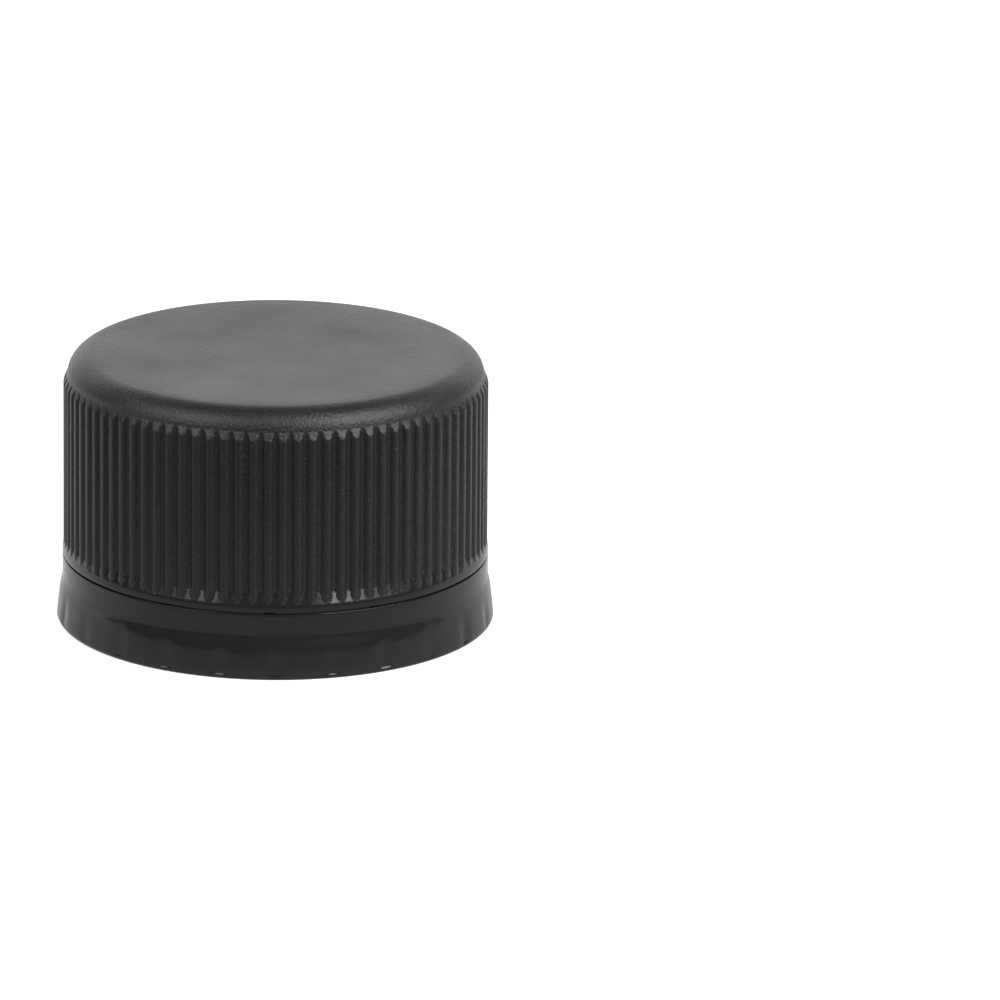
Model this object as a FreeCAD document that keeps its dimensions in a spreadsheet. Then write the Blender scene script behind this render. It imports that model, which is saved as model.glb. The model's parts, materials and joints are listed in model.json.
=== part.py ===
import FreeCAD, Part
import os

import Sketcher

# A moulded screw cap with a tamper-evident band, and the foam liner seated inside it.
# Millimetres, +Z up. The cap stands on the rim of its open end, and the origin is the centre of
# that rim's lower face.

SIZES = (
    # outside of the cap
    ("cap_height", 19.2, "rim to the face of the top panel"),
    ("rim_radius", 15.4, "outside of the rim, from which every other radius follows"),
    ("collar_inset", 0.42, "rim's outside in to the wall at the tear slit"),
    ("groove_inset", 0.33, "wall at the tear slit in to the groove floor at the ribs' foot"),
    ("skirt_draft", 0.02, "how far the groove floor leans in from the ribs' foot to their top"),
    ("shoulder_draft", 0.15, "how far the shoulder leans in above the ribs"),
    ("shoulder_round", 1.45, "rounding between the top panel and the shoulder"),
    ("shoulder_height", 1.5, "top panel down to the tops of the ribs"),
    ("neck_height", 1.45, "tear slit up to the foot of the groove floor"),
    ("neck_land", 0.4, "straight wall just above the tear slit"),
    # ribs for the capping chuck
    ("rib_count", 90, "ribs round the skirt"),
    ("rib_height", 0.27, "rib crest above the groove floor"),
    ("rib_foot_width", 0.7, "rib width at the groove floor"),
    ("rib_crest_width", 0.32, "rib width at its crest"),
    ("rib_top_taper", 0.6, "length over which the top of a rib slopes away"),
    # tamper-evident band
    ("band_height", 4.67, "rim to the tear slit"),
    ("collar_height", 1.6, "straight upper part of the band"),
    ("flare_inset", 0.22, "rim's outside in to the start of the band's flare"),
    ("flare_taper", 0.35, "height of the sloping step between collar and flare"),
    ("rim_land", 0.5, "rim to the end of its straight outer wall"),
    ("rim_bevel", 0.25, "bevel of the rim's outer edge"),
    ("band_wall", 0.63, "wall of the band at the collar"),
    ("lip_wall", 0.8, "wall of the band at the rim"),
    ("lip_height", 0.7, "height of the wider mouth inside the rim"),
    ("lip_taper", 0.25, "height of the slope from the mouth to the band's bore"),
    # tear slit and the bridges that hold the band to the skirt
    ("slit_gap", 0.15, "height of the tear slit"),
    ("slit_depth", 0.3, "depth of the slit's unbroken outer part"),
    ("bridge_count", 12, "bridges behind the slit"),
    ("bridge_width", 0.8, "width of one bridge along the wall"),
    ("score_width", 0.2, "width of the slots that let the band split"),
    ("score_rim_web", 0.35, "web left at the rim below the lower slot"),
    ("score_middle_web", 0.35, "web left between the two slots"),
    ("score_upper_length", 1.5, "length of the slot that meets the tear slit"),
    ("score_direction", 133.0, "direction of the slots round the band, in degrees"),
    # ratchet fins inside the band
    ("fin_count", 24, "fins round the band"),
    ("fin_length_at_wall", 1.85, "axial length of a fin where it meets the wall"),
    ("fin_tip_rise", 0.75, "how much higher a fin's lower edge is at its tip"),
    ("fin_reach", 1.35, "radial reach of a fin from the wall"),
    ("fin_sweep", 2.5, "how far a fin leans round the wall"),
    ("fin_foot_width", 0.75, "fin width along the wall at its foot"),
    ("fin_tip_width", 0.45, "fin width along the wall at its tip"),
    # inside of the skirt
    ("skirt_wall", 0.8, "wall of the skirt, from the groove floor at the ribs' foot to the bore"),
    ("bore_taper_start", 0.7, "tear slit up to the slope that narrows the bore"),
    ("bore_taper", 0.5, "height of that slope"),
    ("panel_thickness", 1.8, "thickness of the top panel"),
    ("corner_bevel", 0.6, "bevel in the corner under the top panel"),
    # thread
    ("thread_pitch", 3.2, "rise of the thread in one turn"),
    ("thread_turns", 1.75, "turns of the thread"),
    ("thread_height", 1.1, "thread crest above the bore"),
    ("thread_foot_width", 1.7, "thread width at the bore"),
    ("thread_crest_width", 0.6, "thread width at its crest"),
    ("thread_start_gap", 0.15, "slope in the bore up to the first turn"),
    ("thread_fade", 3.0, "length over which each end of the thread fades"),
    # liner
    ("liner_thickness", 2.0, "thickness of the foam disc"),
    ("liner_side_gap", 1.35, "bore of the skirt to the edge of the disc"),
    ("liner_bevel", 0.3, "bevel of the disc's lower edge"),
)

# heights above the rim and radii that follow from the sizes
FIN_FOOT = "(Sizes.lip_height + Sizes.lip_taper)"
SLIT_TOP = "(Sizes.band_height + Sizes.slit_gap)"
RIB_TOP = "(Sizes.cap_height - Sizes.shoulder_height)"
PANEL_UNDER = "(Sizes.cap_height - Sizes.panel_thickness)"
MOUTH = "(Sizes.rim_radius - Sizes.lip_wall)"
COLLAR = "(Sizes.rim_radius - Sizes.collar_inset)"
BAND_BORE = f"({COLLAR} - Sizes.band_wall)"
GROOVE_FOOT = f"({COLLAR} - Sizes.groove_inset)"
GROOVE_TOP = f"({GROOVE_FOOT} - Sizes.skirt_draft)"
BORE = f"({GROOVE_FOOT} - Sizes.skirt_wall)"
BORE_TAPER_TOP = f"({SLIT_TOP} + Sizes.bore_taper_start + Sizes.bore_taper)"
# how fast a rib's flank widens towards its foot
RIB_FLANK = "(Sizes.rib_foot_width - Sizes.rib_crest_width) / 2 / Sizes.rib_height"
# a full turn and a quarter turn, in degrees
FULL_TURN_DEG = 360.0
QUARTER_TURN_DEG = 90.0
# how far one solid runs into the solid it is fused with
EMBED = 0.1
# how far a cutting region runs past the material it removes
OVERRUN = 1.0
# flats that make up the rounded shoulder
SHOULDER_FLAT_COUNT = 4


def make_sheet(document):
    """Spreadsheet of the driving dimensions, one alias to a row."""
    sheet = document.addObject("Spreadsheet::Sheet", "Sizes")
    for row, (alias, value, meaning) in enumerate(SIZES, start=1):
        sheet.set(f"A{row}", meaning)
        sheet.set(f"B{row}", str(value))
        sheet.setAlias(f"B{row}", alias)
    document.recompute()
    return sheet


def value_of(holder, expression):
    """Present value of an expression over the sheet."""
    result = holder.evalExpression(str(expression))
    return float(getattr(result, "Value", result))


def new_body(document, label):
    """Empty body with its own label and placement."""
    body = document.addObject("PartDesign::Body", label)
    body.Label = label
    body.Placement = FreeCAD.Placement()
    return body


def origin_plane(body, role):
    """One of the body's own origin planes or axes."""
    return next(item for item in body.Origin.OriginFeatures if item.Role == role)


def new_sketch(body, name, role, height=None, turn=None):
    """Sketch on an origin plane, lifted along its normal and turned about it by expressions."""
    sketch = body.newObject("Sketcher::SketchObject", name)
    sketch.AttachmentSupport = [(origin_plane(body, role), "")]
    sketch.MapMode = "FlatFace"
    if height is not None:
        sketch.setExpression("AttachmentOffset.Base.z", height)
    if turn is not None:
        sketch.setExpression("AttachmentOffset.Rotation.Angle", turn)
    return sketch


def draw_outline(sketch, corners):
    """Closed straight-sided outline through corners given as pairs of expressions.

    Every corner is held by two distances from the origin.
    """
    points = [FreeCAD.Vector(value_of(sketch, x), value_of(sketch, y), 0) for x, y in corners]
    sides = len(points)
    for side, start in enumerate(points):
        sketch.addGeometry(Part.LineSegment(start, points[(side + 1) % sides]), False)
    for side, corner in enumerate(corners):
        before = (side - 1) % sides
        sketch.addConstraint(Sketcher.Constraint("Coincident", before, 2, side, 1))
        for kind, expression in zip(("DistanceX", "DistanceY"), corner):
            distance = value_of(sketch, expression)
            number = sketch.addConstraint(Sketcher.Constraint(kind, -1, 1, side, 1, distance))
            sketch.setExpression(f"Constraints[{number}]", expression)


def rectangle(left, bottom, right, top):
    """Corners of an upright rectangle."""
    return [(left, bottom), (right, bottom), (right, top), (left, top)]


def revolve(body, kind, name, sketch):
    """Revolution or Groove of a sketch through a full turn about the cap's axis."""
    feature = body.newObject(f"PartDesign::{kind}", name)
    feature.Profile = sketch
    feature.ReferenceAxis = (sketch, ["V_Axis"])
    feature.Angle = FULL_TURN_DEG
    return feature


def pattern_round(body, name, feature, count):
    """Repeat a feature evenly round the cap's axis."""
    pattern = body.newObject("PartDesign::PolarPattern", name)
    pattern.Originals = [feature]
    pattern.Axis = (origin_plane(body, "Z_Axis"), [""])
    pattern.Angle = FULL_TURN_DEG
    pattern.setExpression("Occurrences", count)
    body.Tip = pattern
    return pattern


def rounded_corner(radius, height, size, flats):
    """Corners of an outer quarter round drawn as equal flats, from its top to its side."""
    steps = [QUARTER_TURN_DEG * number / flats for number in range(flats + 1)]
    return [
        (f"{radius} - {size} * (1 - sin({angle} deg))", f"{height} - {size} * (1 - cos({angle} deg))")
        for angle in steps
    ]


def cap_section(body):
    """Revolved section of the whole moulding, before the ribs, slit, fins and thread."""
    sketch = new_sketch(body, "cap_profile", "XZ_Plane")
    collar_foot = "Sizes.band_height - Sizes.collar_height"
    flare_top = "Sizes.rim_radius - Sizes.flare_inset"
    shoulder_top = f"({GROOVE_TOP} - Sizes.shoulder_draft)"
    corners = [
        ("0", PANEL_UNDER),
        ("0", "Sizes.cap_height"),
        *rounded_corner(shoulder_top, "Sizes.cap_height", "Sizes.shoulder_round", SHOULDER_FLAT_COUNT),
        (GROOVE_TOP, RIB_TOP),
        (GROOVE_FOOT, f"{SLIT_TOP} + Sizes.neck_height"),
        (COLLAR, f"{SLIT_TOP} + Sizes.neck_land"),
        (COLLAR, collar_foot),
        (flare_top, f"{collar_foot} - Sizes.flare_taper"),
        ("Sizes.rim_radius", "Sizes.rim_land"),
        ("Sizes.rim_radius", "Sizes.rim_bevel"),
        ("Sizes.rim_radius - Sizes.rim_bevel", "0"),
        (MOUTH, "0"),
        (MOUTH, "Sizes.lip_height"),
        (BAND_BORE, FIN_FOOT),
        (BAND_BORE, f"{SLIT_TOP} + Sizes.bore_taper_start"),
        (BORE, BORE_TAPER_TOP),
        (BORE, f"{PANEL_UNDER} - Sizes.corner_bevel"),
        (f"{BORE} - Sizes.corner_bevel", PANEL_UNDER),
    ]
    draw_outline(sketch, corners)
    revolve(body, "Revolution", "moulding", sketch)


def rib_section(body, name, height, floor_radius):
    """Cross-section of one rib, whose flanks carry on into the wall behind the groove floor."""
    sketch = new_sketch(body, name, "XY_Plane", height=height)
    root = f"{floor_radius} - {EMBED}"
    root_width = f"Sizes.rib_foot_width / 2 + {EMBED} * {RIB_FLANK}"
    crest = f"{floor_radius} + Sizes.rib_height"
    corners = [
        (root, f"-({root_width})"),
        (crest, "-Sizes.rib_crest_width / 2"),
        (crest, "Sizes.rib_crest_width / 2"),
        (root, root_width),
    ]
    draw_outline(sketch, corners)
    return sketch


def add_ribs(body):
    """Ribs down the skirt: drafted with it, run out into the neck below, and sloped off at the top."""
    rib = body.newObject("PartDesign::AdditiveLoft", "rib")
    rib.Profile = rib_section(body, "rib_foot", f"{SLIT_TOP} + Sizes.neck_land", GROOVE_FOOT)
    rib.Sections = [rib_section(body, "rib_top", RIB_TOP, GROOVE_TOP)]
    rib.Ruled = True
    pattern_round(body, "ribs", rib, "Sizes.rib_count")
    slope = new_sketch(body, "rib_top_slope", "XZ_Plane")
    past_crest = f"{GROOVE_TOP} + Sizes.rib_height + {OVERRUN}"
    fall = f"Sizes.rib_top_taper / Sizes.rib_height * (Sizes.rib_height + {OVERRUN})"
    draw_outline(slope, [(GROOVE_TOP, RIB_TOP), (past_crest, RIB_TOP), (past_crest, f"{RIB_TOP} - {fall}")])
    revolve(body, "Groove", "sloped_rib_tops", slope)


def add_slit(body):
    """Tear slit: an unbroken outer groove, cut right through between the bridges."""
    groove_floor = f"{COLLAR} - Sizes.slit_depth"
    outside = f"{COLLAR} + {OVERRUN}"
    inside = f"{BAND_BORE} - {OVERRUN}"
    groove = new_sketch(body, "slit_groove", "XZ_Plane")
    draw_outline(groove, rectangle(groove_floor, "Sizes.band_height", outside, SLIT_TOP))
    revolve(body, "Groove", "slit", groove)
    window = new_sketch(body, "slit_window", "XZ_Plane")
    draw_outline(window, rectangle(inside, "Sizes.band_height", groove_floor, SLIT_TOP))
    opening = revolve(body, "Groove", "slit_opening", window)
    bridge_angle = f"Sizes.bridge_width / {BAND_BORE} * {FULL_TURN_DEG} / (2 * pi)"
    opening.setExpression("Angle", f"{FULL_TURN_DEG} / Sizes.bridge_count - {bridge_angle}")
    pattern_round(body, "slit_openings", opening, "Sizes.bridge_count")


def add_score_slots(body):
    """Two slots in line down the band, with thin webs between them and at the rim."""
    half_width = "Sizes.score_width / 2"
    inside = f"min({MOUTH}; {BAND_BORE}) - {EMBED}"
    outside = f"Sizes.rim_radius + {OVERRUN}"
    turn = "Sizes.score_direction"
    lower_top = "Sizes.band_height - Sizes.score_upper_length - Sizes.score_middle_web"
    upper_top = "Sizes.band_height + Sizes.slit_gap / 2"
    slots = (
        ("lower_score", lower_top, f"{lower_top} - Sizes.score_rim_web"),
        ("upper_score", upper_top, "Sizes.score_upper_length + Sizes.slit_gap / 2"),
    )
    for name, top, length in slots:
        sketch = new_sketch(body, f"{name}_plan", "XY_Plane", height=top, turn=turn)
        draw_outline(sketch, rectangle(inside, f"-{half_width}", outside, half_width))
        slot = body.newObject("PartDesign::Pocket", name)
        slot.Profile = sketch
        slot.setExpression("Length", length)


def add_fins(body):
    """Ratchet fins: thin blades that lean round the inside of the band and rise towards their tips."""
    tip = f"{BAND_BORE} - Sizes.fin_reach"
    sketch = new_sketch(body, "fin_plan", "XY_Plane", height=FIN_FOOT)
    corners = [
        (f"{BAND_BORE} + {EMBED}", "-Sizes.fin_foot_width / 2"),
        (f"{BAND_BORE} + {EMBED}", "Sizes.fin_foot_width / 2"),
        (tip, "Sizes.fin_sweep + Sizes.fin_tip_width / 2"),
        (tip, "Sizes.fin_sweep - Sizes.fin_tip_width / 2"),
    ]
    draw_outline(sketch, corners)
    fin = body.newObject("PartDesign::Pad", "fin")
    fin.Profile = sketch
    fin.setExpression("Length", "Sizes.fin_length_at_wall")
    pattern_round(body, "fins", fin, "Sizes.fin_count")
    under = new_sketch(body, "fin_underside", "XZ_Plane")
    past_tip = f"{tip} - {EMBED}"
    rise = f"Sizes.fin_tip_rise / Sizes.fin_reach * (Sizes.fin_reach + {EMBED})"
    draw_outline(under, [(BAND_BORE, FIN_FOOT), (past_tip, f"{FIN_FOOT} + {rise}"), (past_tip, FIN_FOOT)])
    revolve(body, "Groove", "fin_undersides", under)


def add_thread(body):
    """Right-hand thread: a ridge that climbs round the bore and fades into the wall at both ends."""
    half_foot = "Sizes.thread_foot_width / 2"
    half_crest = "Sizes.thread_crest_width / 2"
    start = f"({BORE_TAPER_TOP} + Sizes.thread_start_gap + {half_foot})"
    root = f"{BORE} + {EMBED}"
    crest = f"({BORE} - Sizes.thread_height)"
    flank = "(Sizes.thread_foot_width - Sizes.thread_crest_width) / 2 / Sizes.thread_height"
    half_root = f"({half_foot} + {EMBED} * {flank})"
    sketch = new_sketch(body, "thread_section", "XZ_Plane")
    corners = [
        (root, f"{start} - {half_root}"),
        (crest, f"{start} - {half_crest}"),
        (crest, f"{start} + {half_crest}"),
        (root, f"{start} + {half_root}"),
    ]
    draw_outline(sketch, corners)
    thread = body.newObject("PartDesign::AdditiveHelix", "thread")
    thread.Profile = sketch
    thread.ReferenceAxis = (sketch, ["V_Axis"])
    thread.Mode = "pitch-turns-angle"
    thread.setExpression("Pitch", "Sizes.thread_pitch")
    thread.setExpression("Turns", "Sizes.thread_turns")
    end = f"{start} + Sizes.thread_pitch * Sizes.thread_turns"
    fades = (
        ("thread_start", start, "0", "Sizes.thread_fade"),
        ("thread_end", end, f"{FULL_TURN_DEG} * Sizes.thread_turns", "-Sizes.thread_fade"),
    )
    full_crest = f"sqrt({crest}^2 - Sizes.thread_fade^2)"
    inside = f"{full_crest} - {OVERRUN}"
    for name, height, turn, along in fades:
        plan = new_sketch(body, f"{name}_plan", "XY_Plane", height=height, turn=turn)
        draw_outline(plan, [(BORE, "0"), (full_crest, along), (inside, along), (inside, "0")])
        fade = body.newObject("PartDesign::Pocket", f"{name}_fade")
        fade.Profile = plan
        fade.Midplane = True
        fade.setExpression("Length", "Sizes.thread_pitch")


def make_cap(document):
    """The one-piece moulding: top panel, ribbed skirt, thread, and the band held on by bridges."""
    body = new_body(document, "cap_shell")
    cap_section(body)
    add_slit(body)
    add_score_slots(body)
    add_fins(body)
    add_thread(body)
    add_ribs(body)
    return body


def make_liner(document):
    """The foam disc, face to face with the underside of the top panel."""
    body = new_body(document, "liner")
    face = f"{PANEL_UNDER} - Sizes.liner_thickness"
    edge = f"{BORE} - Sizes.liner_side_gap"
    sketch = new_sketch(body, "liner_profile", "XZ_Plane")
    corners = [
        ("0", face),
        (f"{edge} - Sizes.liner_bevel", face),
        (edge, f"{face} + Sizes.liner_bevel"),
        (edge, PANEL_UNDER),
        ("0", PANEL_UNDER),
    ]
    draw_outline(sketch, corners)
    revolve(body, "Revolution", "disc", sketch)
    return body


def check_and_export(document, bodies):
    """Stop on any failed object or bad solid, then write one STEP file for each body."""
    document.recompute()
    for item in document.Objects:
        if "Invalid" in item.State or "Error" in item.State:
            raise RuntimeError(f"{item.Name} failed: {item.State}")
    for body in bodies:
        shape = body.Shape
        if shape.isNull() or not shape.isValid() or len(shape.Solids) != 1:
            raise RuntimeError(f"{body.Label} is not one valid solid")
    os.makedirs("parts", exist_ok=True)
    for body in bodies:
        body.Shape.exportStep(f"parts/{body.Label}.step")
        print(f"{body.Label}: {body.Shape.Volume:.1f} mm3, {len(body.Shape.Faces)} faces")


def main():
    document = FreeCAD.newDocument("screw_cap")
    make_sheet(document)
    check_and_export(document, [make_cap(document), make_liner(document)])


if __name__ == "__main__":
    main()
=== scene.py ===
import json
import math
import random

import bmesh
import bpy
from mathutils import Matrix, Quaternion, Vector


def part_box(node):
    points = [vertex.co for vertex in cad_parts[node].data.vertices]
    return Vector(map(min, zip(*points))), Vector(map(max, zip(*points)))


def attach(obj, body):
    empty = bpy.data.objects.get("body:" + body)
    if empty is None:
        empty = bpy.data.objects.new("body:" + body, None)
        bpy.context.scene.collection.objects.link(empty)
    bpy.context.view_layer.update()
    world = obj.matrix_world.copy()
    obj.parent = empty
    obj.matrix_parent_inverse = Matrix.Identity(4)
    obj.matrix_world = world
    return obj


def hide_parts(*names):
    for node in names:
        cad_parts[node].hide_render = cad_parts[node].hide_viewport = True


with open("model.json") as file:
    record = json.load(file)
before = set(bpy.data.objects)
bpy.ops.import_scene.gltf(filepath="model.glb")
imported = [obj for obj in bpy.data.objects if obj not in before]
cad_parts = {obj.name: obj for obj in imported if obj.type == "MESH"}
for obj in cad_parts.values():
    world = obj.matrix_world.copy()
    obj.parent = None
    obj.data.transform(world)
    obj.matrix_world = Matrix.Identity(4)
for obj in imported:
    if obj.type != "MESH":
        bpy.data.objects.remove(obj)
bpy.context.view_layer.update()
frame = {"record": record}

# The cap itself: top panel, rounded shoulder, ribbed skirt and plain neck down to the tear slit.
# Black polypropylene, injection moulded in one shot; the tool is spark-eroded on the panel and the
# ribs and polished on the neck, so the same plastic is grainy above and glossy below.

MM = 0.001
mounts = {mount["name"]: mount for mount in frame["record"]["mounts"]}
cap_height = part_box("cap_shell")[1].z
rim_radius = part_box("cap_shell")[1].x
liner_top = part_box("liner")[1].z
bore_radius = mounts["neck_thread"]["dims"]["r_mm"] * MM
mouth_radius = mounts["band_mouth"]["dims"]["r_mm"] * MM
mouth_height = mounts["band_mouth"]["dims"]["length_mm"] * MM

RIBS = 90
COLUMNS_PER_RIB = 12
rib_height = 0.27 * MM
rib_half_width = 0.375 * MM
rib_end_length = 0.6 * MM
groove_foot_radius = rim_radius - 0.75 * MM
groove_top_radius = groove_foot_radius - 0.02 * MM
shoulder_radius = groove_top_radius - 0.15 * MM
shoulder_round = 1.45 * MM
collar_radius = rim_radius - 0.42 * MM
band_bore = collar_radius - 0.63 * MM
band_top = 4.67 * MM
slit_top = band_top + 0.15 * MM
neck_land = slit_top + 0.4 * MM
groove_foot = slit_top + 1.45 * MM
rib_top = cap_height - 1.5 * MM
panel_dish = 0.22 * MM
bore_taper_foot = slit_top + 0.7 * MM
bore_taper_top = slit_top + 1.2 * MM
edge_round = 0.03 * MM
soft_round = 0.15 * MM
panel_margin = 0.01 * MM


def section(bm, corners):
    """Wire section from (radius, height, rounding, segments), rounded at its corners."""
    verts = [bm.verts.new((radius, 0, height)) for radius, height, _, _ in corners]
    for start, end in zip(verts, verts[1:]):
        bm.edges.new((start, end))
    for vert, (_, _, rounding, segments) in zip(verts, corners):
        if rounding:
            bmesh.ops.bevel(bm, geom=[vert], offset=rounding, offset_type="OFFSET", segments=segments,
                            profile=0.5, affect="VERTICES", material=-1)


def finer(bm, low, high, spacing, inner=0):
    """Divide the section's edges between two heights, outside a radius, into stretches up to spacing."""
    for edge in list(bm.edges):
        middle = (edge.verts[0].co + edge.verts[1].co) / 2
        cuts = math.ceil(edge.calc_length() / spacing) - 1
        if low < middle.z < high and middle.x >= inner and cuts > 0:
            bmesh.ops.subdivide_edges(bm, edges=[edge], cuts=cuts)


def sweep_round(bm, start, sweep, steps, copies):
    """Sweep all that is in the bmesh round the axis: one share of the sweep, copied on round it."""
    share = sweep / copies
    bmesh.ops.rotate(bm, verts=bm.verts, cent=(0, 0, 0), matrix=Matrix.Rotation(start, 3, "Z"))
    bmesh.ops.spin(bm, geom=bm.verts[:] + bm.edges[:] + bm.faces[:], cent=(0, 0, 0), axis=(0, 0, 1),
                   dvec=(0, 0, 0), angle=share, steps=steps, use_merge=False, use_duplicate=False,
                   space=Matrix.Identity(4))
    repeat(bm, share, copies)
    bmesh.ops.remove_doubles(bm, verts=bm.verts, dist=0.0001 * MM)
    bmesh.ops.recalc_face_normals(bm, faces=bm.faces)


def repeat(bm, angle, copies):
    """Copy all that is in the bmesh round the axis, angle apart, until there are so many."""
    if copies > 1:
        bmesh.ops.spin(bm, geom=bm.verts[:] + bm.edges[:] + bm.faces[:], cent=(0, 0, 0), axis=(0, 0, 1),
                       dvec=(0, 0, 0), angle=angle * (copies - 1), steps=copies - 1, use_merge=False,
                       use_duplicate=True, space=Matrix.Identity(4))


def smooth_max(a, b, blend):
    """The larger of two heights, with the corner between them blended."""
    share = max(blend - abs(a - b), 0) / blend
    return max(a, b) + share * share * blend / 4


def finish_piece(name, bm, material, smooth_angle=40):
    """Mesh object from a bmesh, smooth but for its sharp edges, riding on the cap."""
    mesh = bpy.data.meshes.new(name)
    bm.to_mesh(mesh)
    bm.free()
    mesh.materials.append(material)
    mesh.shade_smooth()
    mesh.set_sharp_from_angle(angle=math.radians(smooth_angle))
    piece = bpy.data.objects.new(name, mesh)
    bpy.context.scene.collection.objects.link(piece)
    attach(piece, "root")
    return piece


def around(x, y, turn):
    """Signed angle from the direction turn, wrapped to half a turn either way."""
    return (math.atan2(y, x) - turn + math.pi) % math.tau - math.pi


def shader(name, color, roughness, specular=0.5):
    """Plastic with a plain shader, ready for its grain."""
    material = bpy.data.materials.new(name)
    material.use_nodes = True
    tree = material.node_tree
    bsdf = tree.nodes["Principled BSDF"]
    bsdf.inputs["Base Color"].default_value = (*color, 1)
    bsdf.inputs["Roughness"].default_value = roughness
    bsdf.inputs["IOR"].default_value = 1.49
    bsdf.inputs["Specular IOR Level"].default_value = specular
    return material, tree, bsdf


def node(tree, kind, **inputs):
    """Shader node with its inputs set by name."""
    made = tree.nodes.new(kind)
    for key, value in inputs.items():
        made.inputs[key.replace("_", " ")].default_value = value
    return made


def noise(tree, coords, scale, detail=2, roughness=0.5):
    """Noise over the object's own coordinates, in cycles per metre."""
    made = node(tree, "ShaderNodeTexNoise", Scale=scale, Detail=detail, Roughness=roughness)
    tree.links.new(coords, made.inputs["Vector"])
    return made.outputs["Fac"]


def remap(tree, value, low, high, to_low, to_high):
    """Clamped linear change of range."""
    made = tree.nodes.new("ShaderNodeMapRange")
    made.clamp = True
    tree.links.new(value, made.inputs["Value"])
    for key, number in (("From Min", low), ("From Max", high), ("To Min", to_low), ("To Max", to_high)):
        made.inputs[key].default_value = number
    return made.outputs["Result"]


def blend_values(tree, share, first, second):
    """Mix of two values or sockets by a share."""
    made = tree.nodes.new("ShaderNodeMix")
    made.data_type = "FLOAT"
    tree.links.new(share, made.inputs["Factor"])
    for socket, value in ((made.inputs["A"], first), (made.inputs["B"], second)):
        if isinstance(value, (int, float)):
            socket.default_value = value
        else:
            tree.links.new(value, socket)
    return made.outputs["Result"]


def bump(tree, height, distance, strength, bsdf):
    """Bump of a height over a real depth."""
    made = node(tree, "ShaderNodeBump", Strength=strength, Distance=distance)
    tree.links.new(height, made.inputs["Height"])
    tree.links.new(made.outputs["Normal"], bsdf.inputs["Normal"])


skirt_plastic, tree, bsdf = shader("grained_black_plastic", (0.012, 0.012, 0.013), 0.42)
coords = tree.nodes.new("ShaderNodeTexCoord").outputs["Object"]
polish = tree.nodes.new("ShaderNodeAttribute")
polish.attribute_name = "polish"
fine = noise(tree, coords, 4500, 3, 0.65)
cloud = noise(tree, coords, 160, 3, 0.5)
grain_roughness = remap(tree, cloud, 0.3, 0.7, 0.33, 0.42)
roughness = blend_values(tree, polish.outputs["Fac"], grain_roughness, 0.16)
tree.links.new(roughness, bsdf.inputs["Roughness"])
grain = blend_values(tree, polish.outputs["Fac"], fine, 0.5)
bump(tree, grain, 0.06 * MM, 1.0, bsdf)

bm = bmesh.new()
section(bm, [
    (0, cap_height, 0, 0),
    (shoulder_radius, cap_height, shoulder_round, 9),
    (groove_top_radius, rib_top, 0, 0),
    (groove_foot_radius, groove_foot, 0, 0),
    (collar_radius, neck_land, 0.12 * MM, 3),
    (collar_radius, slit_top, edge_round, 2),
    (band_bore, slit_top, edge_round, 2),
    (band_bore, bore_taper_foot, soft_round, 2),
    (bore_radius, bore_taper_top, soft_round, 2),
    (bore_radius, liner_top, 0.6 * MM, 4),
    (0, liner_top, 0, 0),
])
finer(bm, cap_height - panel_margin, cap_height + panel_margin, 1.2 * MM)
finer(bm, neck_land + 0.1 * MM, groove_foot, 0.07 * MM, band_bore)
finer(bm, groove_foot, rib_top, rib_top - groove_foot, band_bore)
for height in (rib_top - 1.2 * rib_end_length, rib_top - 2.4 * rib_end_length, groove_foot + 0.4 * MM):
    bmesh.ops.bisect_plane(bm, geom=bm.verts[:] + bm.edges[:], plane_co=(0, 0, height),
                           plane_no=(0, 0, 1))
finer(bm, rib_top - 1.2 * rib_end_length, rib_top, 0.05 * MM, band_bore)
sweep_round(bm, 0, math.tau, COLUMNS_PER_RIB, RIBS)

polish_layer = bm.verts.layers.float.new("polish")
rib_pitch = math.tau / RIBS
for vert in bm.verts:
    x, y, z = vert.co
    radius = math.hypot(x, y)
    angle = math.atan2(y, x)
    if radius > band_bore + 0.1 * MM and slit_top + 0.05 * MM < z < rib_top:
        along = (z - groove_foot) / (rib_top - groove_foot)
        floor = groove_foot_radius + (groove_top_radius - groove_foot_radius) * along
        off_centre = abs((angle + rib_pitch / 2) % rib_pitch - rib_pitch / 2)
        across = off_centre * groove_foot_radius / rib_half_width
        rise = rib_height * max(1 - across**3, 0)
        end = rib_height * (rib_top - z) / rib_end_length
        rise = -smooth_max(-rise, -end, 0.04 * MM) if z > rib_top - 2 * rib_end_length else rise
        rib_surface = floor + max(rise, 0)
        moved = smooth_max(radius, rib_surface, 0.03 * MM)
        polished = min(max((radius - rib_surface) / (0.02 * MM), 0), 1) if z < groove_foot else 0
        vert[polish_layer] = polished
        vert.co = (moved * math.cos(angle), moved * math.sin(angle), z)
    elif z <= bore_taper_top:
        vert[polish_layer] = 1
    elif z > cap_height - panel_margin and radius < shoulder_radius - shoulder_round:
        share = radius / (shoulder_radius - shoulder_round)
        vert.co.z -= panel_dish * (1 - share * share) ** 2
cap = finish_piece("cap_skirt", bm, skirt_plastic)
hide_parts("cap_shell")

# The neck thread: one right-hand ridge of the same shot, climbing the bore in one and three
# quarter turns. It is cut into the core that unscrews, so its crest is rounded and its ends fade.

thread_pitch = 3.2 * MM
thread_turns = 1.75
thread_crest = bore_radius - 1.1 * MM
thread_root = bore_radius + 0.1 * MM
thread_start = slit_top + 2.2 * MM
thread_fade = 3.0 * MM
thread_foot_half = 0.9
thread_crest_half = 0.3
THREAD_STEPS = 315

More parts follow.
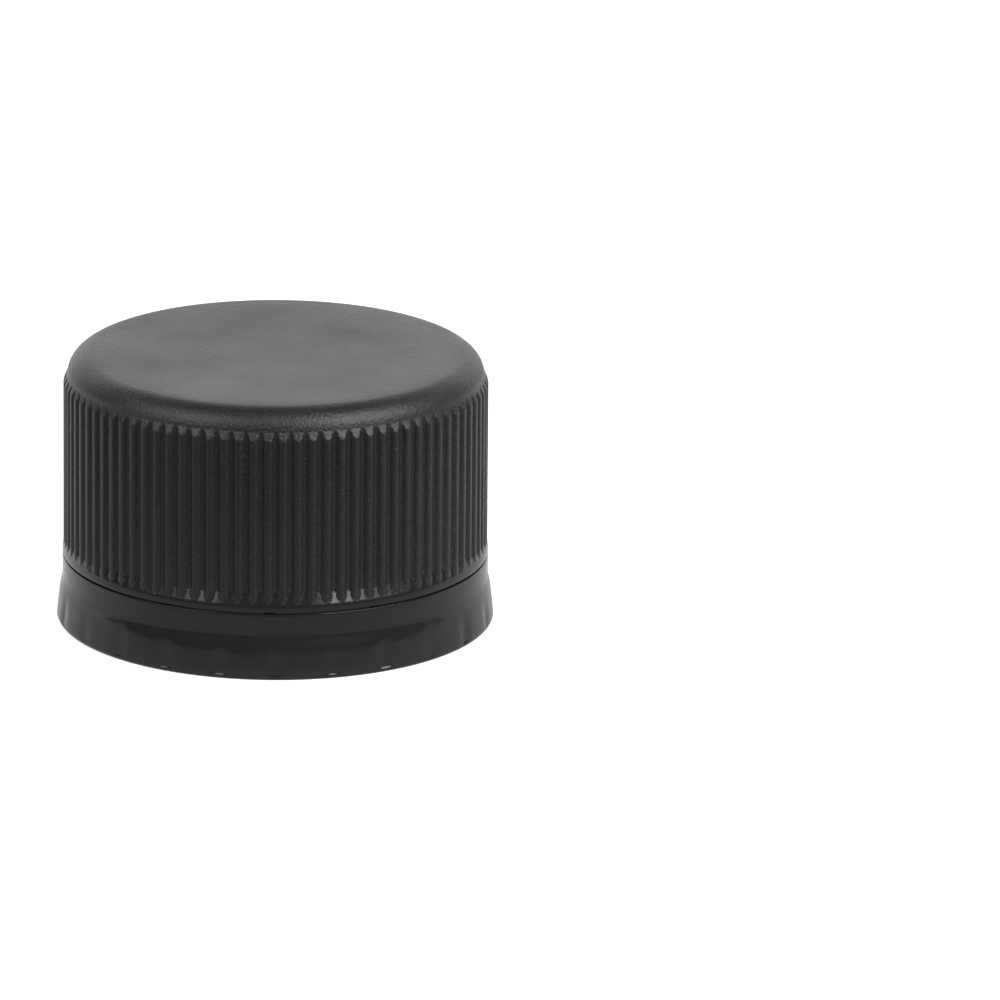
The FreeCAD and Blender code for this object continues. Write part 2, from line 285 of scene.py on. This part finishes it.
satin_plastic, tree, bsdf = shader("satin_black_plastic", (0.014, 0.014, 0.015), 0.28)
coords = tree.nodes.new("ShaderNodeTexCoord").outputs["Object"]
cloud = noise(tree, coords, 300, 3)
tree.links.new(remap(tree, cloud, 0.3, 0.7, 0.22, 0.34), bsdf.inputs["Roughness"])
bump(tree, noise(tree, coords, 900, 3), 0.01 * MM, 0.3, bsdf)

bm = bmesh.new()
ridge = []
for radius, height in ((thread_root, -thread_foot_half), (thread_crest, -thread_crest_half),
                       (thread_crest, thread_crest_half), (thread_root, thread_foot_half)):
    ridge.append(bm.verts.new((radius, 0, thread_start + height * MM)))
face = bm.faces.new(ridge)
crests = [vert for vert in bm.verts if vert.co.x < bore_radius - 1 * MM]
bmesh.ops.bevel(bm, geom=crests, offset=0.22 * MM, offset_type="OFFSET", segments=4, profile=0.5,
                affect="VERTICES", material=-1)
bmesh.ops.spin(bm, geom=bm.verts[:] + bm.edges[:] + bm.faces[:], cent=(0, 0, 0), axis=(0, 0, 1),
               dvec=(0, 0, thread_pitch * thread_turns / THREAD_STEPS), angle=math.tau * thread_turns,
               steps=THREAD_STEPS, use_merge=False, use_duplicate=False, space=Matrix.Identity(4))
for vert in bm.verts:
    x, y, z = vert.co
    radius = math.hypot(x, y)
    base = thread_start + thread_pitch * (math.atan2(y, x) % math.tau) / math.tau
    turn = round((z - base) / thread_pitch)
    centre = base + turn * thread_pitch
    run = (centre - thread_start) / thread_pitch * math.tau * bore_radius
    left = min(run, thread_turns * math.tau * bore_radius - run) / thread_fade
    share = min(max(left, 0), 1)
    share = share * share * (3 - 2 * share)
    moved = thread_root - (thread_root - radius) * max(share, 0.05)
    vert.co = (x / radius * moved, y / radius * moved, centre + (z - centre) * (0.5 + 0.5 * share))
bmesh.ops.recalc_face_normals(bm, faces=bm.faces)
thread = finish_piece("neck_thread", bm, satin_plastic)
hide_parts("cap_shell")

# The tamper-evident band: the lower ring of the moulding, left hanging by bridges when the slit is
# cut. Polished plastic, a plain collar above a flare, with a sink mark opposite each fin's root
# and a fine flash line where the halves of the mould met.

score_turn = math.radians(133)
score_width = 0.2 * MM / mouth_radius
fin_foot = mouth_height + 0.25 * MM
FINS = 24
flash_turn = math.radians(-84.75)
collar_foot = band_top - 1.6 * MM
flare_top = band_top - 2.5 * MM
rim_land = 0.5 * MM
random.seed(7)
sink_depths = [random.uniform(0.6, 1.3) for _ in range(FINS)]

polished_plastic, tree, bsdf = shader("polished_black_plastic", (0.012, 0.012, 0.013), 0.15)
coords = tree.nodes.new("ShaderNodeTexCoord").outputs["Object"]
cloud = noise(tree, coords, 220, 3)
tree.links.new(remap(tree, cloud, 0.3, 0.75, 0.1, 0.22), bsdf.inputs["Roughness"])
bump(tree, noise(tree, coords, 260, 2), 0.03 * MM, 0.35, bsdf)


def band_section(bm):
    """Closed section of the band."""
    section(bm, [
        (band_bore, band_top, 0, 0),
        (collar_radius, band_top, 0.04 * MM, 2),
        (collar_radius, collar_foot, 0.2 * MM, 3),
        (rim_radius - 0.2 * MM, flare_top, 0.3 * MM, 3),
        (rim_radius, rim_land, 0.12 * MM, 2),
        (rim_radius, 0, 0.28 * MM, 5),
        (mouth_radius, 0, 0.1 * MM, 2),
        (mouth_radius, mouth_height, 0.08 * MM, 2),
        (band_bore, fin_foot, 0.08 * MM, 2),
    ])
    ends = [vert for vert in bm.verts if len(vert.link_edges) == 1]
    bm.edges.new(ends)
    finer(bm, 0.25 * MM, 1.2 * MM, 0.1 * MM)
    finer(bm, 1.2 * MM, band_top - 0.1 * MM, 0.16 * MM)


def close_ends(bm):
    """Fill the open ends of a swept section."""
    bmesh.ops.edgeloop_fill(bm, edges=[edge for edge in bm.edges if edge.is_boundary])
    bmesh.ops.recalc_face_normals(bm, faces=bm.faces)


def moulding_marks(bm):
    """Press the sink marks into the band's outside, and raise its flash line."""
    for vert in bm.verts:
        x, y, z = vert.co
        radius = math.hypot(x, y)
        if radius < collar_radius - 0.06 * MM or z > band_top - 0.05 * MM:
            continue
        turn = math.atan2(y, x) % math.tau / math.tau * FINS
        number = round(turn) % FINS
        across = (turn - round(turn)) * math.tau / FINS * rim_radius
        rise = min(max((z - 0.2 * MM) / (0.25 * MM), 0), 1)
        fade = min(max((2.7 * MM - z) / (1.6 * MM), 0), 1)
        sink = 0.08 * MM * sink_depths[number] * math.exp(-(across / (0.6 * MM)) ** 2)
        moved = radius - sink * rise * rise * (3 - 2 * rise) * fade
        flash = abs(around(x, y, flash_turn)) * rim_radius
        if flash < 0.12 * MM and (0.2 * MM < z < 2.1 * MM or z > 3.8 * MM):
            moved += 0.03 * MM * (1 - flash / (0.12 * MM))
        vert.co = (x / radius * moved, y / radius * moved, z)


bm = bmesh.new()
band_section(bm)
sweep_round(bm, score_turn + score_width / 2, math.tau - score_width, 36, FINS)
close_ends(bm)
web_height = 0.35 * MM
middle_web = band_top - 1.85 * MM
for low, high in ((0, web_height), (middle_web, middle_web + web_height)):
    web = bmesh.new()
    band_section(web)
    bmesh.ops.edgeloop_fill(web, edges=web.edges[:])
    for height, side in ((low, -1), (high, 1)):
        bmesh.ops.bisect_plane(web, geom=web.verts[:] + web.edges[:] + web.faces[:], plane_co=(0, 0, height),
                               plane_no=(0, 0, side), clear_outer=True)
    sweep_round(web, score_turn - score_width, 2 * score_width, 4, 1)
    mesh = bpy.data.meshes.new("web")
    web.to_mesh(mesh)
    web.free()
    bm.from_mesh(mesh)
    bpy.data.meshes.remove(mesh)
moulding_marks(bm)
band = finish_piece("tamper_band", bm, polished_plastic, 35)
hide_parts("cap_shell")

# The bridges: twelve short ties of the same plastic left behind the slit, which hold the band to
# the neck and snap when the cap is first turned.

BRIDGES = 12
bridge_width = 0.8 * MM
slit_floor = collar_radius - 0.3 * MM

bm = bmesh.new()
corners = [bm.verts.new((radius, 0, height)) for radius, height in (
    (band_bore + 0.01 * MM, band_top - 0.04 * MM), (slit_floor, band_top - 0.04 * MM),
    (slit_floor, slit_top + 0.04 * MM), (band_bore + 0.01 * MM, slit_top + 0.04 * MM))]
bm.faces.new(corners)
sweep_round(bm, -bridge_width / band_bore, bridge_width / band_bore, 4, 1)
repeat(bm, math.tau / BRIDGES, BRIDGES)
bridges = finish_piece("slit_bridges", bm, polished_plastic)
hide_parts("cap_shell")

# The ratchet fins: thin blades moulded with the band, all leaning one way round so that they fold
# over the bottle's bead going on and catch it coming off. Their lower edges slope up to the tip.

fin_reach = 1.35 * MM
fin_length = 1.85 * MM
fin_sweep = 2.5 * MM
fin_rise = 0.75 * MM

bm = bmesh.new()
tip = band_bore - fin_reach
plan = [(band_bore + 0.1 * MM, -0.375), (band_bore + 0.1 * MM, 0.375),
        (tip, fin_sweep / MM + 0.225), (tip, fin_sweep / MM - 0.225)]
blade = bm.faces.new([bm.verts.new((x, y * MM, fin_foot)) for x, y in plan])
upper = bmesh.ops.extrude_face_region(bm, geom=[blade])["geom"]
bmesh.ops.translate(bm, verts=[item for item in upper if isinstance(item, bmesh.types.BMVert)],
                    vec=(0, 0, fin_length))
for vert in bm.verts:
    inwards = max(band_bore - math.hypot(vert.co.x, vert.co.y), 0) / fin_reach
    if vert.co.z < fin_foot + fin_rise / 2:
        vert.co.z += fin_rise * inwards
    else:
        vert.co.z -= 0.12 * MM * inwards
bmesh.ops.recalc_face_normals(bm, faces=bm.faces)
bmesh.ops.bevel(bm, geom=bm.edges[:], offset=0.07 * MM, offset_type="OFFSET", segments=2, profile=0.5,
                affect="EDGES", material=-1)
repeat(bm, math.tau / FINS, FINS)
fins = finish_piece("ratchet_fins", bm, satin_plastic)
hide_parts("cap_shell")

# The liner: a disc punched from white foamed polyethylene sheet and pressed up against the panel.
# Its face is smooth and its cut edge is soft, so the rim of the disc rolls over gently.

liner_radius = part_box("liner")[1].x
liner_face = mounts["liner_seal_face"]["pos_m"][2]

foam, tree, bsdf = shader("white_foam", (0.80, 0.82, 0.83), 0.5)
bsdf.inputs["Subsurface Weight"].default_value = 0.25
bsdf.inputs["Subsurface Radius"].default_value = (0.0006, 0.0006, 0.0006)
coords = tree.nodes.new("ShaderNodeTexCoord").outputs["Object"]
cells = node(tree, "ShaderNodeTexVoronoi", Scale=3800)
tree.links.new(coords, cells.inputs["Vector"])
tree.links.new(remap(tree, noise(tree, coords, 250, 3), 0.3, 0.7, 0.42, 0.58), bsdf.inputs["Roughness"])
bump(tree, cells.outputs["Distance"], 0.02 * MM, 0.3, bsdf)

bm = bmesh.new()
section(bm, [
    (0, liner_face, 0, 0),
    (liner_radius, liner_face, 0.7 * MM, 8),
    (liner_radius, liner_top, 0, 0),
    (0, liner_top, 0, 0),
])
finer(bm, liner_face - 0.01 * MM, liner_face + 0.01 * MM, 1.5 * MM)
sweep_round(bm, 0, math.tau, 10, 24)
liner = finish_piece("foam_liner", bm, foam)
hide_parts("liner")

# The stage: a white table in a white room, with two soft boxes in front and a panel behind. In
# gloss and bounce light the table is a painted glow, not lit paper: bright behind the cap and dark in front
# of it, as under studio lamps.

floor_material = bpy.data.materials.new("white_table")
floor_material.use_nodes = True
tree = floor_material.node_tree
tree.nodes.clear()
output = tree.nodes.new("ShaderNodeOutputMaterial")
path = tree.nodes.new("ShaderNodeLightPath")
geometry = tree.nodes.new("ShaderNodeNewGeometry")
spot = tree.nodes.new("ShaderNodeTexCoord")
length = tree.nodes.new("ShaderNodeVectorMath")
length.operation = "LENGTH"
tree.links.new(spot.outputs["Object"], length.inputs[0])
distance = length.outputs["Value"]


def emission(tree, color, strength):
    """Emission whose strength is a number or a socket."""
    made = tree.nodes.new("ShaderNodeEmission")
    made.inputs["Color"].default_value = (*color, 1)
    if isinstance(strength, (int, float)):
        made.inputs["Strength"].default_value = strength
    else:
        tree.links.new(strength, made.inputs["Strength"])
    return made.outputs[0]


def mix_shaders(tree, share, first, second):
    """Mix of two shaders by a socket."""
    made = tree.nodes.new("ShaderNodeMixShader")
    tree.links.new(share, made.inputs["Fac"])
    tree.links.new(first, made.inputs[1])
    tree.links.new(second, made.inputs[2])
    return made.outputs[0]


paper = node(tree, "ShaderNodeBsdfDiffuse", Color=(0.6, 0.6, 0.6, 1))
# Painted shade: the table's glow seen by the camera stops at the cap's rim, so the floor under the cap stays
# dark as if in its shadow; outside the rim the glow is even.
glow_with_painted_shade_under_cap = remap(tree, distance, rim_radius - 0.6 * MM, rim_radius, 0, 0.84)
added = tree.nodes.new("ShaderNodeAddShader")
tree.links.new(paper.outputs[0], added.inputs[0])
tree.links.new(emission(tree, (1, 1, 1), glow_with_painted_shade_under_cap), added.inputs[1])
table_place = tree.nodes.new("ShaderNodeSeparateXYZ")
tree.links.new(spot.outputs["Object"], table_place.inputs[0])
behind = table_place.outputs["Y"]
# Painted reflection and bounce light: for all but camera rays the table glows, graded from dark in front of
# the cap to bright behind it.
painted_bounce_glow = emission(tree, (1, 1, 1), remap(tree, behind, -60 * MM, 30 * MM, 0.06, 1.0))
seen = mix_shaders(tree, path.outputs["Is Camera Ray"], painted_bounce_glow, added.outputs[0])
clear = tree.nodes.new("ShaderNodeBsdfTransparent")
surface = mix_shaders(tree, geometry.outputs["Backfacing"], seen, clear.outputs[0])
tree.links.new(surface, output.inputs["Surface"])

bm = bmesh.new()
bmesh.ops.create_circle(bm, cap_ends=True, cap_tris=False, segments=96, radius=2.0)
mesh = bpy.data.meshes.new("table")
bm.to_mesh(mesh)
bm.free()
mesh.materials.append(floor_material)
table = bpy.data.objects.new("table", mesh)
bpy.context.scene.collection.objects.link(table)


def soft_box(name, azimuth, elevation, distance, width, height, power):
    """Area lamp that faces the cap from a direction; azimuth 0 is in front."""
    lamp = bpy.data.lights.new(name, "AREA")
    lamp.shape = "RECTANGLE"
    lamp.size = width
    lamp.size_y = height
    lamp.energy = power
    place = bpy.data.objects.new(name, lamp)
    turn, lift = math.radians(azimuth), math.radians(elevation)
    back = Vector((math.sin(turn) * math.cos(lift), -math.cos(turn) * math.cos(lift), math.sin(lift)))
    place.location = back * distance
    place.rotation_mode = "QUATERNION"
    place.rotation_quaternion = (-back).to_track_quat("-Z", "Y")
    place.visible_camera = False
    bpy.context.scene.collection.objects.link(place)


soft_box("right_soft_box", 50, 36, 0.7, 0.62, 0.55, 6.4)
soft_box("left_soft_box", -55, 36, 0.7, 0.62, 0.55, 3.0)
soft_box("back_panel", 180, 22, 0.9, 1.8, 0.7, 4.4)

world = bpy.data.worlds.new("white_room")
bpy.context.scene.world = world
world.use_nodes = True
tree = world.node_tree
background = tree.nodes["Background"]
background.inputs["Color"].default_value = (1, 1, 1, 1)
path = tree.nodes.new("ShaderNodeLightPath")
tree.links.new(remap(tree, path.outputs["Is Camera Ray"], 0, 1, 0.12, 1.0), background.inputs["Strength"])

camera_data = bpy.data.cameras.new("camera")
camera_data.sensor_width = 36
camera_data.lens = 348.63
camera_data.clip_start = 0.01
camera_data.clip_end = 10
camera = bpy.data.objects.new("camera", camera_data)
camera.location = (0, -0.651038, 0.209449)
aim = Vector((0.015841, 0.002237, 0.007706)) - camera.location
camera.rotation_mode = "QUATERNION"
camera_roll = Quaternion((0, 0, 1), math.radians(0.605))
camera.rotation_quaternion = aim.to_track_quat("-Z", "Y") @ camera_roll
bpy.context.scene.collection.objects.link(camera)
bpy.context.scene.camera = camera
bpy.context.scene.view_settings.view_transform = "Standard"
